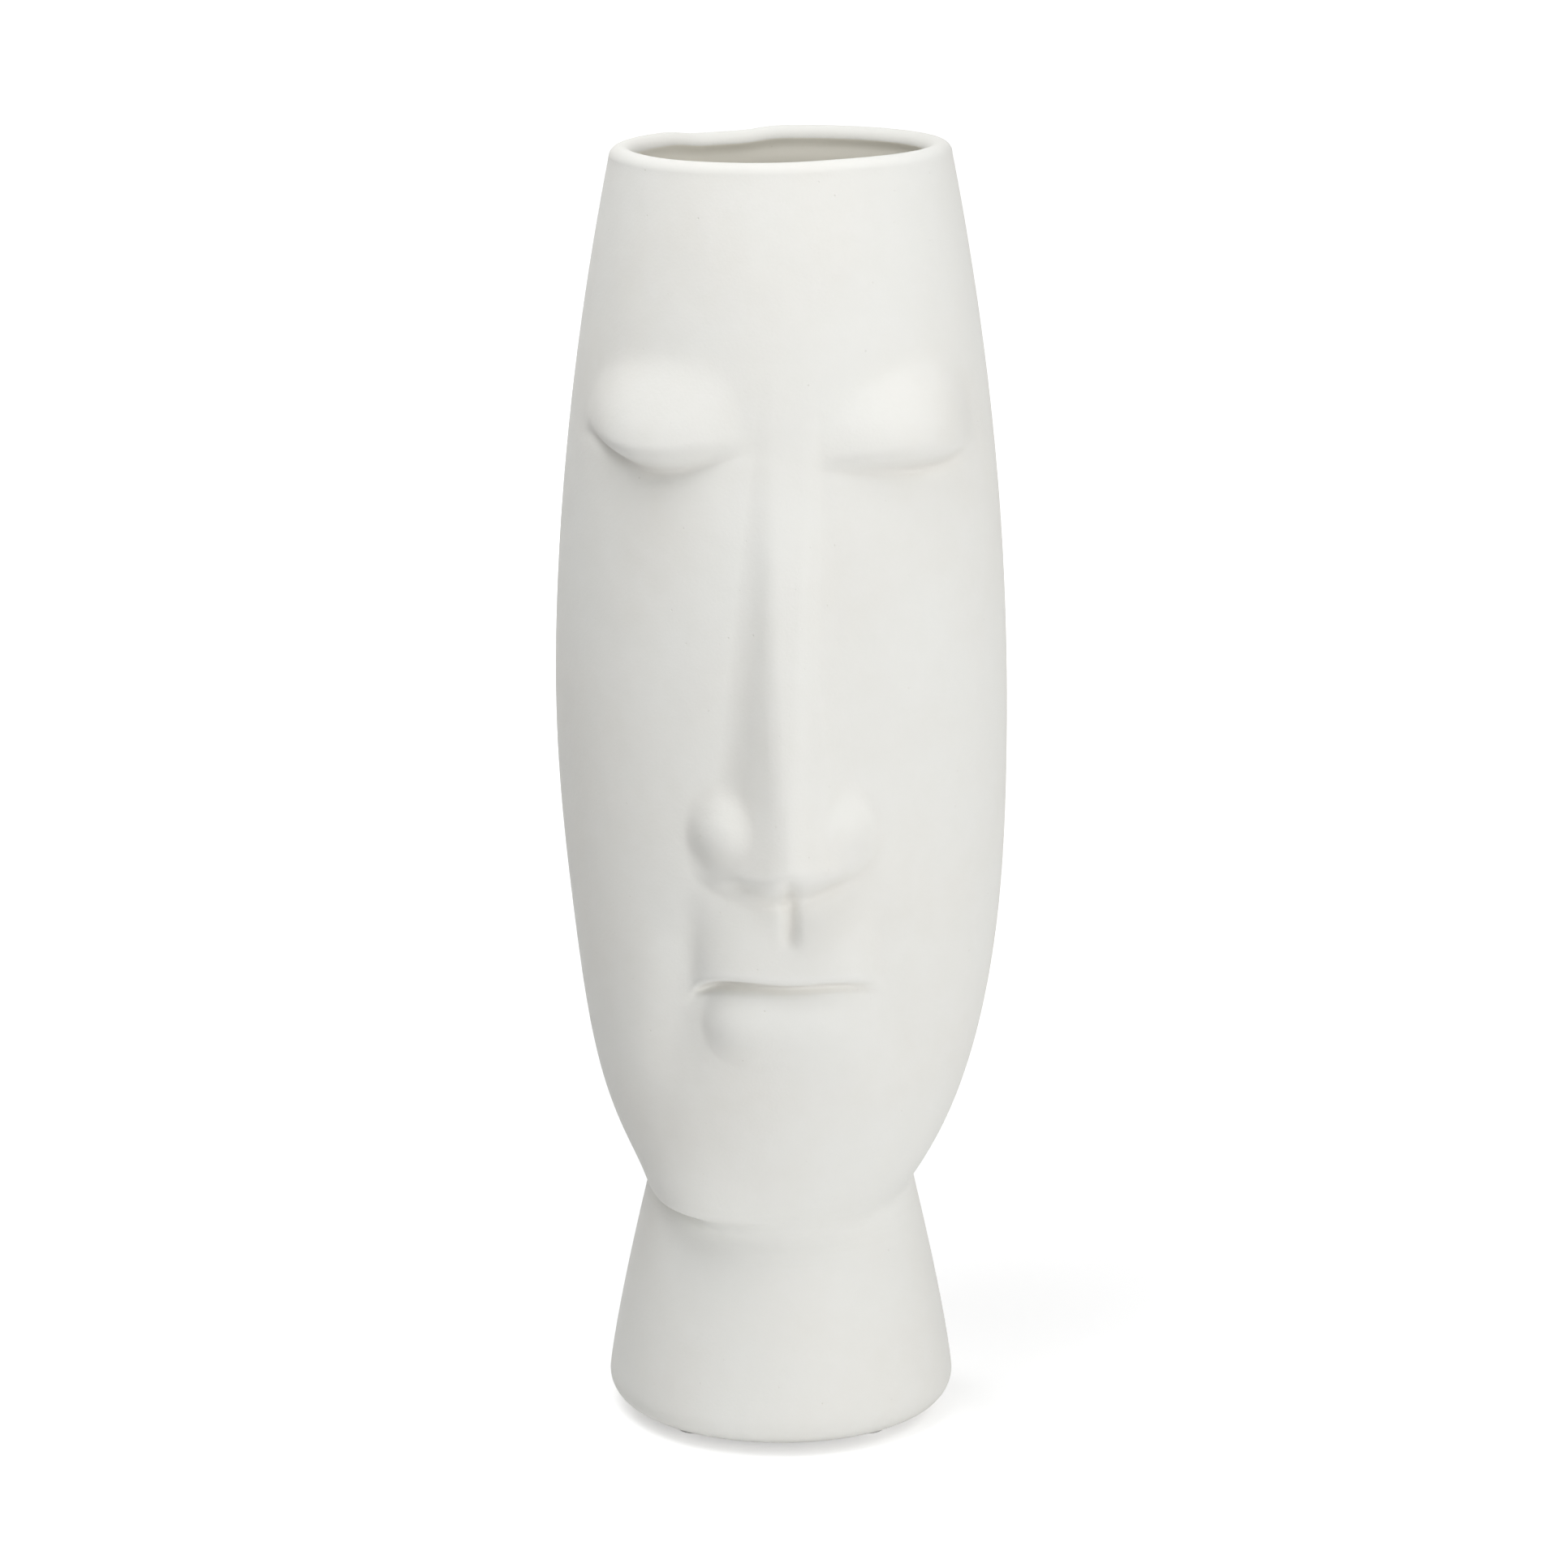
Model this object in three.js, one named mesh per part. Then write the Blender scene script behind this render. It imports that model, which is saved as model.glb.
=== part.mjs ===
// Face vase in matte ceramic, in millimetres, +Z up.
// A hollow cast head, open at the top, is luted with slip onto a flared hollow foot on four felt pads.
// The origin is on the table, on the axis of the foot, and the face looks along -Y.
import * as THREE from "three";

// Body of the head
const VASE_HEIGHT = 300; // table to the highest point of the lip
const BELLY_HEIGHT = 171; // level at which the head is widest
const BELLY_RADIUS = 52.4;
const LIP_RADIUS = 38.4; // outside of the lip
const SHOULDER_POWER = 1.9; // how late the head draws in towards the lip
const JAW_SHARE = 0.4; // share of the lower taper that the jaw takes at its very end
const JAW_POWER = 5.5;
const HEAD_SET_BACK = 5; // the belly lies behind the axis of the foot, which balances the nose
const HEAD_SWAY = 1.2; // the casting leans a little to the right at the mouth
const SWAY_HEIGHT = 116;
const SWAY_HALF_HEIGHT = 38;
const WALL = 5.5;

// Hand-finished lip
const LIP_TILT = 0.5; // the left side is this much lower than the right
const LIP_DIPS = [
  { angle: -2.55, halfWidth: 0.5, depth: 1.5 }, // behind, on the left
  { angle: Math.PI, halfWidth: 1.2, depth: 0.4 }, // all along the back
];

// Joint of head and foot
const JOINT_HEIGHT = 58.8; // at the two sides
const JOINT_DROP = 9; // lower under the chin, and as much higher at the nape
const NECK_RADIUS = 30.7; // outside of the joint, at the two sides
const SEAM_THICKNESS = 1.4;
const SEAM_INSET = 0.5; // the slip is drawn in between the two walls
const SEAT_GAP = 0.3;

// Flared foot
const FOOT_RADIUS = 40.7;
const FOOT_EDGE_RADIUS = 6.5;
const FLARE_POWER = 1.2;
const FLOOR_THICKNESS = 6;
const FLOOR_FILLET = 6;
const FOOT_RING_WIDTH = 12;
const RECESS_DEPTH = 2.5;

// Felt pads
const PAD_RADIUS = 4.5;
const PAD_THICKNESS = 2;
const PAD_CHAMFER = 0.4;

// Eyes: closed lids over a long dome that fades into the brow, measured along the surface
const EYE_MIDDLE = -0.4; // between the two eyes
const EYE_HEIGHT = 231.3; // lowest point of the line of the lids
const EYE_REACH = 31.5;
const EYE_HALF_LENGTH = 25;
const EYE_TALL = 25.7;
const EYE_SAG = 4; // how far the line hangs between its ends
const EYE_SAG_LOPSIDED = 0.6; // share by which it hangs more on the left, and less on the right
const EYE_BULGE = 6;
const EYE_LOPSIDED = 0.15; // share by which the left eye stands out more, and the right one less
const EYE_CREST = 0.25; // share of the eye's height that lies below its most forward point
const EYE_FILLET = 1.6;
const CREASE_DEPTH = 1.6; // under the outer part of the lids
const CREASE_HALF_HEIGHT = 2.2;
const CREASE_PLACE = 0.6; // share of the way to the outer end
const BROW_HOLLOW = 1; // shallow dip between the eyes
const BROW_HOLLOW_SIZE = 13;

// Nose: a wedge with a flat ridge, and a ball on either side of its tip
const NOSE_ROOT_HEIGHT = 232.3;
const NOSE_TIP_HEIGHT = 140.8;
const NOSE_PROJECTION = 12.2;
const NOSE_LEFT_ROOT = -3.6; // edges of the flat ridge, at the root and at the tip
const NOSE_LEFT_TIP = 0;
const NOSE_RIGHT_ROOT = 7;
const NOSE_RIGHT_TIP = 2.2;
const NOSE_FLANK_SLOPE = 0.92;
const NOSE_UNDER_SLOPE = 1.8;
const NOSE_UNDER_CURVE = 0.018; // the lower edge rises to either side
const NOSE_UNDER_OFFSET = -3;
const NOSE_ROUNDING = 1.9;
const NOSE_TIP_ROUNDING = 6.5;
const WING_HEIGHT = 150.5;
const WING_OFFSET = -0.2;
const WING_REACH = 11;
const WING_HALF_WIDTH = 9.7;
const WING_HALF_HEIGHT = 9.6;
const WING_BULGE = 5.8;
const WING_LOPSIDED = 0.1;
const NOSE_FILLET = 3.2;

// Groove from the nose to the mouth
const PHILTRUM_OFFSET = 0.9;
const PHILTRUM_DEPTH = 1.7;
const PHILTRUM_HALF_WIDTH = 1.8;
const PHILTRUM_HEIGHT = 133.8;
const PHILTRUM_HALF_HEIGHT = 8.7;

// Mouth
const MOUTH_OFFSET = 0.2;
const MOUTH_HEIGHT = 117.7;
const MOUTH_HALF_WIDTH = 24;
const MOUTH_BOW = 0.6; // dip of the line in its middle
const MOUTH_DROOP = 5.6; // how far the line falls at the corners
const MOUTH_DEPTH = 2;
const MOUTH_LOPSIDED = 1; // the line is deeper on the left
const MOUTH_SOFTNESS = 1.4;
const LIPS_OFFSET = -1.6;
const LIPS_HALF_WIDTH = 20.5;
const UPPER_LIP_BULGE = 3.5;
const UPPER_LIP_RISE = 30;
const UPPER_LIP_EDGE = 2.4; // height over which the upper lip steps back to the lower one
const LOWER_LIP_BULGE = 2.5;
const LOWER_LIP_HALF_WIDTH = 18;
const LOWER_LIP_HEIGHT = 106.5;
const LOWER_LIP_HALF_HEIGHT = 8.8;
const LOWER_LIP_LOPSIDED = 0.45;
const LIP_FILLET = 2.4;

// The swell that carries the mouth, the folds beside it, and the chin
const MUZZLE_BULGE = 2.5;
const MUZZLE_HEIGHT = 110;
const MUZZLE_HALF_WIDTH = 34;
const MUZZLE_HALF_HEIGHT = 32;
const FOLD_REACH = 22.8;
const FOLD_SPREAD = -0.22; // they stand closer together towards the nose
const FOLD_DEPTH = 2.5;
const FOLD_LOPSIDED = 0.3;
const FOLD_HALF_WIDTH = 7.6;
const FOLD_HEIGHT = 110.5;
const FOLD_HALF_HEIGHT = 21.5;
const CHIN_OFFSET = -26; // the edge of the jaw is sharper on the left
const CHIN_HEIGHT = 58;
const CHIN_BULGE = 3.9;
const CHIN_HALF_WIDTH = 20;
const CHIN_HALF_HEIGHT = 14;
const CHIN_UNDERCUT = 4; // height over which the face grows out of the joint

// Facets
const HEAD_COLUMNS = 64;
const FRONT_CROWDING = 0.6; // columns stand closer together on the face than behind
const FINE_STEP = 2.5;
const PLAIN_STEP = 6.5;
const INNER_ROWS = 12;
const FOOT_ROWS = 8;
const ROUND_COLUMNS = 48;
const ARC_STEPS = 4;

const CERAMIC_COLOUR = 0xe9e9e4;
const SLIP_COLOUR = 0xdfded8;
const FELT_COLOUR = 0x8d8a84;

const { clamp, lerp, smoothstep } = THREE.MathUtils;
const ON_AXIS = [0, 0];

// A bump of height one that falls away to nothing at a distance of about two.
function bell(distance) {
  return Math.exp(-distance * distance);
}

// The larger of two heights, with the valley between them filled over a given width.
function filletedMax(a, b, fillet) {
  const overlap = Math.max(fillet - Math.abs(a - b), 0) / fillet;
  return Math.max(a, b) + (overlap * overlap * fillet) / 4;
}

// The smaller of two heights, with the edge between them rounded over a given width.
function roundedMin(a, b, rounding) {
  return -filletedMax(-a, -b, rounding);
}

// The modelling by hand left the relief stronger on the left by a share, and weaker on the right.
function lopsided(across, share) {
  return 1 - share * Math.sign(across);
}

// Angles are measured from the face, positive towards its right-hand side in a front view.
function placed(angle, radius, [right, back], height) {
  return new THREE.Vector3(right + radius * Math.sin(angle), back - radius * Math.cos(angle), height);
}

// Level of the middle of the slip: lowest under the chin.
function jointHeight(angle) {
  return JOINT_HEIGHT - JOINT_DROP * Math.cos(angle);
}

function lipHeight(angle) {
  let height = VASE_HEIGHT - (LIP_TILT * (1 - Math.sin(angle))) / 2;
  for (const dip of LIP_DIPS) {
    const away = Math.atan2(Math.sin(angle - dip.angle), Math.cos(angle - dip.angle));
    height -= dip.depth * bell(away / dip.halfWidth);
  }
  return height;
}

function footRadius(height) {
  const edgeTop = PAD_THICKNESS + FOOT_EDGE_RADIUS;
  const rise = Math.max(height - edgeTop, 0) / (JOINT_HEIGHT - edgeTop);
  return FOOT_RADIUS - (FOOT_RADIUS - NECK_RADIUS) * rise ** FLARE_POWER;
}

// The head without its face.
function headRadius(angle, height) {
  const bottom = jointHeight(angle);
  const above = clamp((height - BELLY_HEIGHT) / (VASE_HEIGHT - BELLY_HEIGHT), 0, 1);
  const below = clamp((BELLY_HEIGHT - height) / (BELLY_HEIGHT - bottom), 0, 1);
  const taper = (1 - JAW_SHARE) * below ** 2 + JAW_SHARE * below ** JAW_POWER;
  const shoulder = (BELLY_RADIUS - LIP_RADIUS) * above ** SHOULDER_POWER;
  return BELLY_RADIUS - shoulder - (BELLY_RADIUS - footRadius(bottom)) * taper;
}

// How far a level of the head lies to the right of the foot's axis, and behind it.
function headShift(angle, height) {
  const sway = HEAD_SWAY * bell((height - SWAY_HEIGHT) / SWAY_HALF_HEIGHT);
  return [sway, HEAD_SET_BACK * smoothstep(height, jointHeight(angle), BELLY_HEIGHT)];
}

// Above its crest the dome fades out, and below it the dome drops into the crease of the lids.
function eyeRelief(across, height) {
  const u = (Math.abs(across - EYE_MIDDLE) - EYE_REACH) / EYE_HALF_LENGTH;
  const arch = 1 - u * u;
  const span = Math.max(arch, 0);
  const lids = EYE_HEIGHT + EYE_SAG * lopsided(across, EYE_SAG_LOPSIDED) * (1 - span * span);
  const above = height - lids - EYE_TALL * EYE_CREST * Math.sqrt(span);
  const v = above / (EYE_TALL * (above > 0 ? 1 - EYE_CREST : EYE_CREST));
  const inside = arch - v * v;
  const bulge = EYE_BULGE * lopsided(across, EYE_LOPSIDED);
  const upper = bulge * Math.max(inside, 0) ** 2;
  const drop = bulge * inside * (inside > 0 ? span : 1);
  const lower = filletedMax(0, drop, EYE_FILLET * clamp(arch, 0.05, 1));
  const crease = bell(u / CREASE_PLACE - 1) * bell((height - lids) / CREASE_HALF_HEIGHT);
  return (above > 0 ? upper : lower) - CREASE_DEPTH * crease;
}

function noseRelief(across, height) {
  const along = (NOSE_ROOT_HEIGHT - height) / (NOSE_ROOT_HEIGHT - NOSE_TIP_HEIGHT);
  const down = clamp(along, 0, 1);
  const ridge = NOSE_PROJECTION * along;
  const left = ridge - NOSE_FLANK_SLOPE * (lerp(NOSE_LEFT_ROOT, NOSE_LEFT_TIP, down) - across);
  const right = ridge - NOSE_FLANK_SLOPE * (across - lerp(NOSE_RIGHT_ROOT, NOSE_RIGHT_TIP, down));
  const edge = NOSE_TIP_HEIGHT + NOSE_UNDER_CURVE * (across - NOSE_UNDER_OFFSET) ** 2;
  const under = NOSE_PROJECTION + NOSE_UNDER_SLOPE * (height - edge);
  const wedge = roundedMin(roundedMin(ridge, left, NOSE_ROUNDING), right, NOSE_ROUNDING);
  return roundedMin(wedge, under, NOSE_TIP_ROUNDING);
}

function wingRelief(across, height) {
  const u = (Math.abs(across - WING_OFFSET) - WING_REACH) / WING_HALF_WIDTH;
  const v = (height - WING_HEIGHT) / WING_HALF_HEIGHT;
  return WING_BULGE * lopsided(across, WING_LOPSIDED) * (1 - u * u - v * v);
}

// The upper lip overhangs the line between the lips, which falls at the corners and fades to the right.
function mouthRelief(across, height) {
  const u = (across - MOUTH_OFFSET) / MOUTH_HALF_WIDTH;
  const line = MOUTH_HEIGHT - MOUTH_BOW * bell(3 * u) - MOUTH_DROOP * u ** 4;
  const ends = bell(((across - LIPS_OFFSET) / LIPS_HALF_WIDTH) ** 4);
  const rise = smoothstep(line + UPPER_LIP_RISE - height, 0, UPPER_LIP_RISE);
  const upper = UPPER_LIP_BULGE * ends * rise * smoothstep(height, line - UPPER_LIP_EDGE, line);
  const s = across / LOWER_LIP_HALF_WIDTH;
  const t = (height - LOWER_LIP_HEIGHT) / LOWER_LIP_HALF_HEIGHT;
  const lipBulge = LOWER_LIP_BULGE * (1 - LOWER_LIP_LOPSIDED * clamp(s, -1, 1));
  const lower = filletedMax(0, lipBulge * (1 - s ** 4 - t * t), LIP_FILLET);
  const depth = MOUTH_DEPTH * ends * (1 - MOUTH_LOPSIDED * u);
  const groove = depth * bell((height - line + UPPER_LIP_EDGE / 2) / MOUTH_SOFTNESS);
  return upper + lower - groove;
}

function philtrumRelief(across, height) {
  const u = (across - PHILTRUM_OFFSET) / PHILTRUM_HALF_WIDTH;
  const v = (height - PHILTRUM_HEIGHT) / PHILTRUM_HALF_HEIGHT;
  return -PHILTRUM_DEPTH * bell(u) * bell(v ** 3);
}

function softRelief(across, height) {
  const muzzle = bell(across / MUZZLE_HALF_WIDTH) * bell((height - MUZZLE_HEIGHT) / MUZZLE_HALF_HEIGHT);
  const foldReach = FOLD_REACH + FOLD_SPREAD * (height - FOLD_HEIGHT);
  const beside = bell((Math.abs(across) - foldReach) / FOLD_HALF_WIDTH);
  const fold = beside * bell(((height - FOLD_HEIGHT) / FOLD_HALF_HEIGHT) ** 2);
  const foldDepth = FOLD_DEPTH * lopsided(across, FOLD_LOPSIDED);
  const chinAcross = (across - CHIN_OFFSET) / CHIN_HALF_WIDTH;
  const chin = bell(chinAcross) * bell((height - CHIN_HEIGHT) / CHIN_HALF_HEIGHT);
  const brow = bell(across / BROW_HOLLOW_SIZE) * bell((height - EYE_HEIGHT) / BROW_HOLLOW_SIZE);
  return MUZZLE_BULGE * muzzle + CHIN_BULGE * chin - foldDepth * fold - BROW_HOLLOW * brow;
}

// How far the face stands out from the head, at a place given along the surface and by its height.
function faceRelief(across, height) {
  const nose = filletedMax(noseRelief(across, height), wingRelief(across, height), NOSE_FILLET);
  const raised = filletedMax(eyeRelief(across, height), nose, NOSE_FILLET);
  const mouth = mouthRelief(across, height) + philtrumRelief(across, height);
  return raised + mouth + softRelief(across, height);
}

// A closed mesh from the profile at each angle. A profile is a loop, or runs from the axis to the axis.
function sweptGeometry(angles, profileAt) {
  const points = [];
  const rows = angles.map((angle) =>
    profileAt(angle).map((point) => {
      const shared = Math.hypot(point.x, point.y) === 0 && points.find((other) => other.equals(point));
      if (shared) return points.indexOf(shared);
      points.push(point);
      return points.length - 1;
    }),
  );
  const triangles = [];
  const addTriangle = (a, b, c) => {
    if (a !== b && b !== c && c !== a) triangles.push(a, b, c);
  };
  rows.forEach((row, i) => {
    const next = rows[(i + 1) % rows.length];
    row.forEach((_, k) => {
      const j = (k + 1) % row.length;
      if (row[k] === next[k] && row[j] === next[j]) return;
      addTriangle(row[k], next[k], next[j]);
      addTriangle(row[k], next[j], row[j]);
    });
  });
  const geometry = new THREE.BufferGeometry().setFromPoints(points);
  geometry.setIndex(triangles);
  geometry.computeVertexNormals();
  return geometry;
}

function evenAngles(count) {
  return Array.from({ length: count }, (_, i) => (2 * Math.PI * i) / count);
}

// Angles from the nape round to the nape, closest together in the middle of the face.
function crowdedAngles(count) {
  return evenAngles(count).map((turn) => {
    const angle = turn - Math.PI;
    return angle - FRONT_CROWDING * Math.sin(angle);
  });
}

function evenSteps(from, to, count) {
  return Array.from({ length: count + 1 }, (_, i) => lerp(from, to, i / count));
}

// Shares of the head's height, close together at the mouth, the nose's base and the eyes.
function headRowShares() {
  const zones = [
    { top: JOINT_HEIGHT + 2 * CHIN_UNDERCUT, step: FINE_STEP },
    { top: LOWER_LIP_HEIGHT - LOWER_LIP_HALF_HEIGHT, step: PLAIN_STEP },
    { top: WING_HEIGHT + WING_HALF_HEIGHT, step: FINE_STEP },
    { top: EYE_HEIGHT - EYE_SAG, step: PLAIN_STEP },
    { top: EYE_HEIGHT + EYE_TALL, step: FINE_STEP },
    { top: VASE_HEIGHT, step: PLAIN_STEP },
  ];
  const heights = [JOINT_HEIGHT];
  for (const zone of zones) {
    const bottom = heights.at(-1);
    const count = Math.max(Math.round((zone.top - bottom) / zone.step), 1);
    heights.push(...evenSteps(bottom, zone.top, count).slice(1));
  }
  return heights.map((height) => (height - JOINT_HEIGHT) / (VASE_HEIGHT - JOINT_HEIGHT));
}

function headGeometry() {
  const shares = headRowShares();
  const profileAt = (angle) => {
    const bottom = jointHeight(angle) + SEAM_THICKNESS / 2 + SEAT_GAP;
    const lipRound = WALL / 2;
    const top = lipHeight(angle) - lipRound;
    const outside = shares.map((share) => {
      const height = lerp(bottom, top, share);
      const radius = headRadius(angle, height);
      const grown = smoothstep(height, bottom, bottom + CHIN_UNDERCUT);
      const relief = grown * faceRelief(radius * angle, height);
      return placed(angle, radius + relief, headShift(angle, height), height);
    });
    const lipMiddle = headRadius(angle, top) - lipRound;
    const lip = evenSteps(0, Math.PI, ARC_STEPS).slice(1, -1).map((turn) => {
      const radius = lipMiddle + lipRound * Math.cos(turn);
      return placed(angle, radius, headShift(angle, top), top + lipRound * Math.sin(turn));
    });
    const inside = evenSteps(top, bottom, INNER_ROWS).map((height) =>
      placed(angle, headRadius(angle, height) - WALL, headShift(angle, height), height),
    );
    return [...outside, ...lip, ...inside];
  };
  return sweptGeometry(crowdedAngles(HEAD_COLUMNS), profileAt);
}

function seamGeometry() {
  const profileAt = (angle) => {
    const middle = jointHeight(angle);
    const half = SEAM_THICKNESS / 2;
    const outer = footRadius(middle);
    const inner = outer - WALL;
    const corners = [
      [outer - SEAM_INSET, middle - half],
      [outer - SEAM_INSET / 2, middle],
      [outer - SEAM_INSET, middle + half],
      [inner + SEAM_INSET, middle + half],
      [inner + SEAM_INSET / 2, middle],
      [inner + SEAM_INSET, middle - half],
    ];
    return corners.map(([radius, height]) => placed(angle, radius, ON_AXIS, height));
  };
  return sweptGeometry(evenAngles(ROUND_COLUMNS), profileAt);
}

function footGeometry() {
  const recessTop = PAD_THICKNESS + RECESS_DEPTH;
  const floorTop = recessTop + FLOOR_THICKNESS;
  const edgeTop = PAD_THICKNESS + FOOT_EDGE_RADIUS;
  const flatRadius = FOOT_RADIUS - FOOT_EDGE_RADIUS;
  const ringInside = flatRadius - FOOT_RING_WIDTH;
  const filletTop = floorTop + FLOOR_FILLET;
  const filletMiddle = footRadius(filletTop) - WALL - FLOOR_FILLET;
  const quarter = evenSteps(0, Math.PI / 2, ARC_STEPS);
  const profileAt = (angle) => {
    const top = jointHeight(angle) - SEAM_THICKNESS / 2 - SEAT_GAP;
    const underside = [
      [0, recessTop],
      [ringInside - RECESS_DEPTH, recessTop],
      [ringInside, PAD_THICKNESS],
    ];
    const edge = quarter.map((turn) => [
      flatRadius + FOOT_EDGE_RADIUS * Math.sin(turn),
      edgeTop - FOOT_EDGE_RADIUS * Math.cos(turn),
    ]);
    const outsideHeights = evenSteps(edgeTop, top, FOOT_ROWS).slice(1);
    const outside = outsideHeights.map((height) => [footRadius(height), height]);
    const insideHeights = evenSteps(top, filletTop, FOOT_ROWS / 2);
    const inside = insideHeights.map((height) => [footRadius(height) - WALL, height]);
    const fillet = quarter.slice(1).map((turn) => [
      filletMiddle + FLOOR_FILLET * Math.cos(turn),
      filletTop - FLOOR_FILLET * Math.sin(turn),
    ]);
    const section = [...underside, ...edge, ...outside, ...inside, ...fillet, [0, floorTop]];
    return section.map(([radius, height]) => placed(angle, radius, ON_AXIS, height));
  };
  return sweptGeometry(evenAngles(ROUND_COLUMNS), profileAt);
}

function padGeometry() {
  const section = [
    [0, 0],
    [PAD_RADIUS - PAD_CHAMFER, 0],
    [PAD_RADIUS, PAD_CHAMFER],
    [PAD_RADIUS, PAD_THICKNESS],
    [0, PAD_THICKNESS],
  ].map(([radius, height]) => new THREE.Vector2(radius, height));
  return new THREE.LatheGeometry(section, ROUND_COLUMNS / 2).rotateX(Math.PI / 2);
}

function addPiece(group, name, geometry, colour, roughness) {
  const material = new THREE.MeshStandardMaterial({ color: colour, roughness, metalness: 0 });
  const mesh = new THREE.Mesh(geometry, material);
  mesh.name = name;
  group.add(mesh);
  return mesh;
}

const vase = new THREE.Group();
addPiece(vase, "head_vessel", headGeometry(), CERAMIC_COLOUR, 0.7);
addPiece(vase, "slip_seam", seamGeometry(), SLIP_COLOUR, 0.8);
addPiece(vase, "neck_foot", footGeometry(), CERAMIC_COLOUR, 0.7);

const padCircle = FOOT_RADIUS - FOOT_EDGE_RADIUS - FOOT_RING_WIDTH / 2;
const padPlaces = { front_left: [-1, -1], front_right: [1, -1], back_left: [-1, 1], back_right: [1, 1] };
for (const [place, [sideX, sideY]] of Object.entries(padPlaces)) {
  const pad = addPiece(vase, `felt_pad_${place}`, padGeometry(), FELT_COLOUR, 0.95);
  pad.position.set((sideX * padCircle) / Math.SQRT2, (sideY * padCircle) / Math.SQRT2, 0);
}

export default vase;
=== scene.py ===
"""Looks of the face vase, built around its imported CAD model.

Sizes are in millimetres and angles in radians, as in the part's source. Meshes are written in metres.
"""
import math

import bmesh
import bpy
import numpy as np
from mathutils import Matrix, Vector


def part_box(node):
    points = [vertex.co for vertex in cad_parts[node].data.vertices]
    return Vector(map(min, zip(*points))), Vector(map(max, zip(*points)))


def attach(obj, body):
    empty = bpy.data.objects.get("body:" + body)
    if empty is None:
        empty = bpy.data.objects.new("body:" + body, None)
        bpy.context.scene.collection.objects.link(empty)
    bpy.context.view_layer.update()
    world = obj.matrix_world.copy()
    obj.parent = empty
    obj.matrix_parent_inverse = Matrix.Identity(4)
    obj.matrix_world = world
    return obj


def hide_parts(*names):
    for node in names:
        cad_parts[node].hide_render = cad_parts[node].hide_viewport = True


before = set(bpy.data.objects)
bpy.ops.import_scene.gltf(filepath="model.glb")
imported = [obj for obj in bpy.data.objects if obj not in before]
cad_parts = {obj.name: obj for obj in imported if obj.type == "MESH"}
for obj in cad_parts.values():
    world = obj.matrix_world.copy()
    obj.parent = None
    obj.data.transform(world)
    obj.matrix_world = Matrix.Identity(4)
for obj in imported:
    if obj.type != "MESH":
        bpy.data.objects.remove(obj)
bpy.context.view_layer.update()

MM = 0.001
ON_AXIS = (0, 0)

# Body of the head
VASE_HEIGHT = 300.0
BELLY_HEIGHT = 171.0
BELLY_RADIUS = 52.4
LIP_RADIUS = 38.4
SHOULDER_POWER = 1.9
JAW_SHARE = 0.4
JAW_POWER = 7.5
JAW_COLLAR = 2.0  # the head runs on as a short collar between its jaw and the joint
HEAD_SET_BACK = 5.0
HEAD_SWAY = 1.2  # the casting leans a little to the right at the mouth
SWAY_HEIGHT = 116.0
SWAY_HALF_HEIGHT = 38.0
WALL = 5.5

# Hand-finished lip
LIP_TILT = 1.0
LIP_DIPS = [
    {"angle": -2.72, "half_width": 0.3, "depth": 1.0},
    {"angle": -0.4, "half_width": 0.65, "depth": 0.4},
]
LIP_COVE_DEPTH = 0.4  # a shallow hollow inside, right under the lip
LIP_COVE_PLACE = 1.8
LIP_COVE_HALF_HEIGHT = 1.8

# Joint of head and foot, and the slip that fills its crease
JOINT_HEIGHT = 58.8
JOINT_DROP = 9.0
NECK_RADIUS = 30.7
SEAM_THICKNESS = 1.4
SEAT_GAP = 0.3
SLIP_REACH = 3.2
SLIP_COVER = 0.04
SLIP_DEPTH = 0.25
SLIP_RUN_OUT = 7.0

# Left of the jaw, where the slip hardly fills the crease, which is also cut in deeper
JAW_LEFT_ANGLE = -0.95
JAW_LEFT_HALF_WIDTH = 0.55
SLIP_REACH_LEFT = 0.3
JAW_CLEFT_DEPTH = 1.4
JAW_CLEFT_DROP = 0.3
JAW_CLEFT_HALF_HEIGHT = 1.2

# Flared foot
FOOT_RADIUS = 40.7
FOOT_EDGE_RADIUS = 6.5
FLARE_POWER = 1.2
FLOOR_THICKNESS = 6.0
FLOOR_FILLET = 6.0
FOOT_RING_WIDTH = 12.0
RECESS_DEPTH = 2.5
PAD_THICKNESS = 2.0
PAD_ROUNDING = 0.5
PADS = ["felt_pad_front_left", "felt_pad_front_right", "felt_pad_back_left", "felt_pad_back_right"]

# Eyes: closed lids over a long dome that fades into the brow, measured along the surface
EYE_MIDDLE = -0.4
EYE_HEIGHT = 231.3
EYE_REACH = 31.5
EYE_HALF_LENGTH = 25.0
EYE_TALL = 25.7
EYE_LEAN = 0.2  # both domes are taller on their right and lower on their left
EYE_SAG = 3.5
EYE_SAG_LOPSIDED = 0.6
LIDS_OFFSET = 3.0  # the lowest points of the lids' lines lie to the right of the middles of the eyes
EYE_BULGE = 6.0
EYE_LOPSIDED = 0.15
EYE_CREST = 0.25  # the dome is fullest at this share of its height
EYE_FILLET = 1.6
EYE_FILLET_LEAST = 0.05  # the share of the fillet that is left at the ends of the lids
CREASE_DEPTH = 1.0
CREASE_HALF_HEIGHT = 2.2
CREASE_PLACE = 0.7
CREASE_INWARD = 1.7
CREASE_END = 1.15
BROW_HOLLOW = 1.0
BROW_HOLLOW_SIZE = 13.0

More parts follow.
